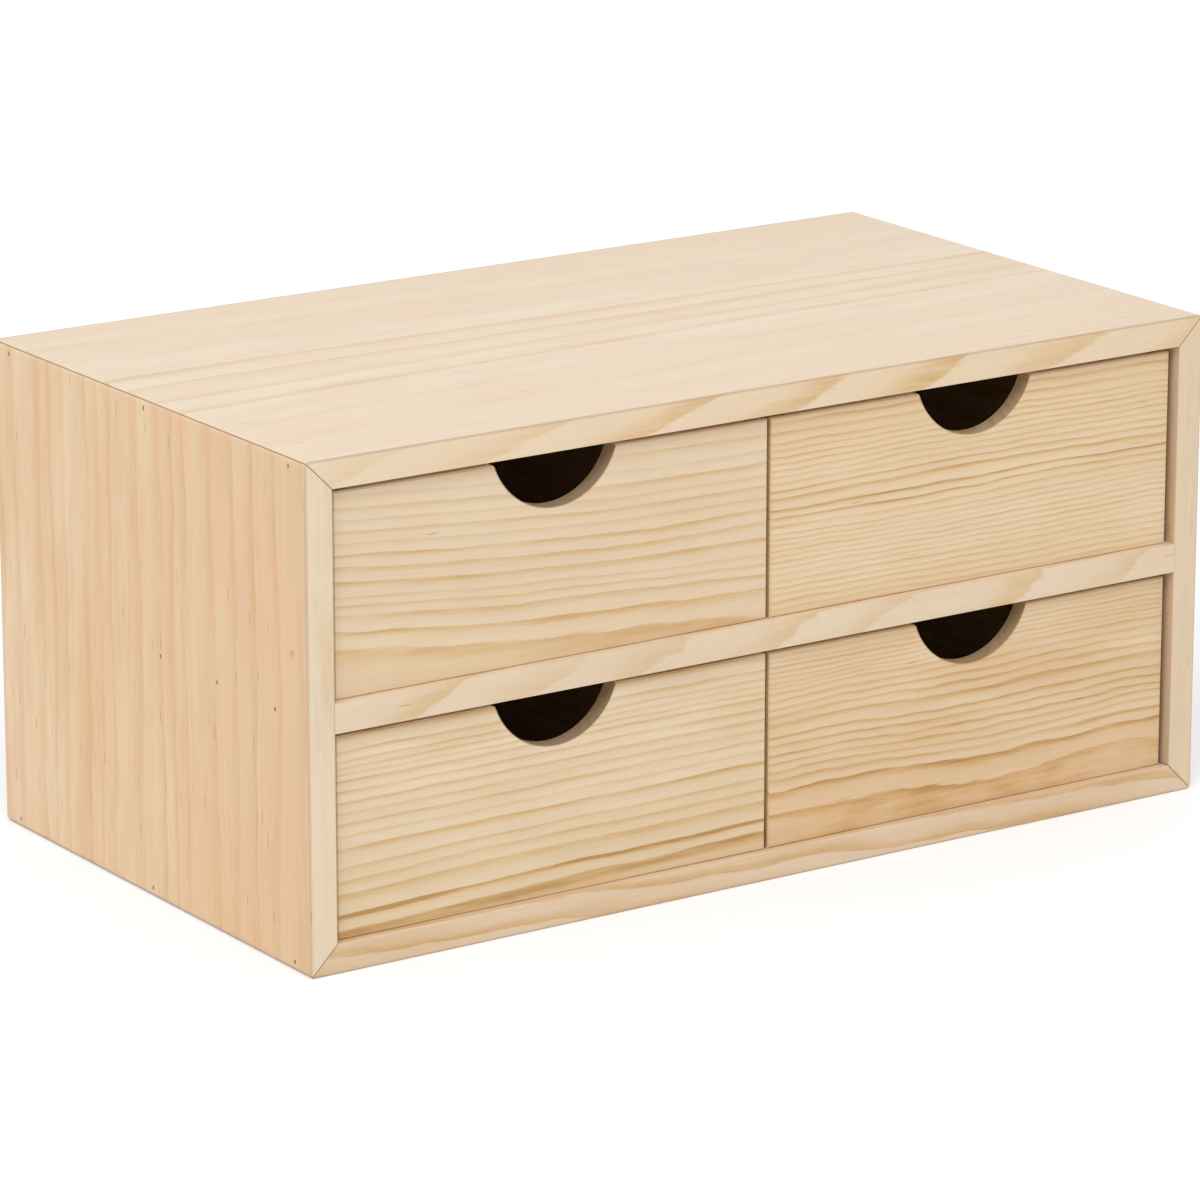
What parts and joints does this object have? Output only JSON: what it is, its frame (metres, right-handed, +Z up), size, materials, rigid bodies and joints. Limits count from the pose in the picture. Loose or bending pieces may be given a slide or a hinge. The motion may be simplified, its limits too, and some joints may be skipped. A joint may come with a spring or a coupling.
{
  "type": "desktop mini drawers",
  "caption": "Small desktop chest of raw pine: a mitred case with a middle shelf, and low drawers side by side that pull out by half-round finger notches.",
  "frame": {"origin": "centre of the footprint, on the underside that the case stands on", "axes": "+X along the width, to the right as the drawer fronts are looked at; -Y the way the drawers open; +Z up"},
  "size_m": [0.36, 0.2, 0.17],
  "materials": {
    "pine_case": "raw planed pine",
    "pine_front": "raw planed pine",
    "pine_box": "raw planed pine",
    "plywood": "raw poplar plywood",
    "brad_steel": "galvanised wire"
  },
  "bodies": {
    "case": {"top_board": "pine_case", "bottom_board": "pine_case", "left_board": "pine_case", "right_board": "pine_case", "middle_shelf": "pine_case", "upper_divider": "plywood", "lower_divider": "plywood", "back_panel": "plywood", "corner_brads": "brad_steel", "shelf_brads": "brad_steel", "back_panel_brads": "brad_steel"},
    "upper_left_drawer": {"upper_left_drawer_front": "pine_front", "upper_left_drawer_left_side": "pine_box", "upper_left_drawer_right_side": "pine_box", "upper_left_drawer_back": "pine_box", "upper_left_drawer_bottom": "plywood", "upper_left_drawer_brads": "brad_steel"},
    "upper_right_drawer": {"upper_right_drawer_front": "pine_front", "upper_right_drawer_left_side": "pine_box", "upper_right_drawer_right_side": "pine_box", "upper_right_drawer_back": "pine_box", "upper_right_drawer_bottom": "plywood", "upper_right_drawer_brads": "brad_steel"},
    "lower_left_drawer": {"lower_left_drawer_front": "pine_front", "lower_left_drawer_left_side": "pine_box", "lower_left_drawer_right_side": "pine_box", "lower_left_drawer_back": "pine_box", "lower_left_drawer_bottom": "plywood", "lower_left_drawer_brads": "brad_steel"},
    "lower_right_drawer": {"lower_right_drawer_front": "pine_front", "lower_right_drawer_left_side": "pine_box", "lower_right_drawer_right_side": "pine_box", "lower_right_drawer_back": "pine_box", "lower_right_drawer_bottom": "plywood", "lower_right_drawer_brads": "brad_steel"}
  },
  "joints": [
    {"name": "upper_left_slide", "type": "slide", "parent": "case", "child": "upper_left_drawer", "axis": [0, -1, 0], "range_m": [0, 0.15]},
    {"name": "upper_right_slide", "type": "slide", "parent": "case", "child": "upper_right_drawer", "axis": [0, -1, 0], "range_m": [0, 0.15]},
    {"name": "lower_left_slide", "type": "slide", "parent": "case", "child": "lower_left_drawer", "axis": [0, -1, 0], "range_m": [0, 0.15]},
    {"name": "lower_right_slide", "type": "slide", "parent": "case", "child": "lower_right_drawer", "axis": [0, -1, 0], "range_m": [0, 0.15]}
  ]
}
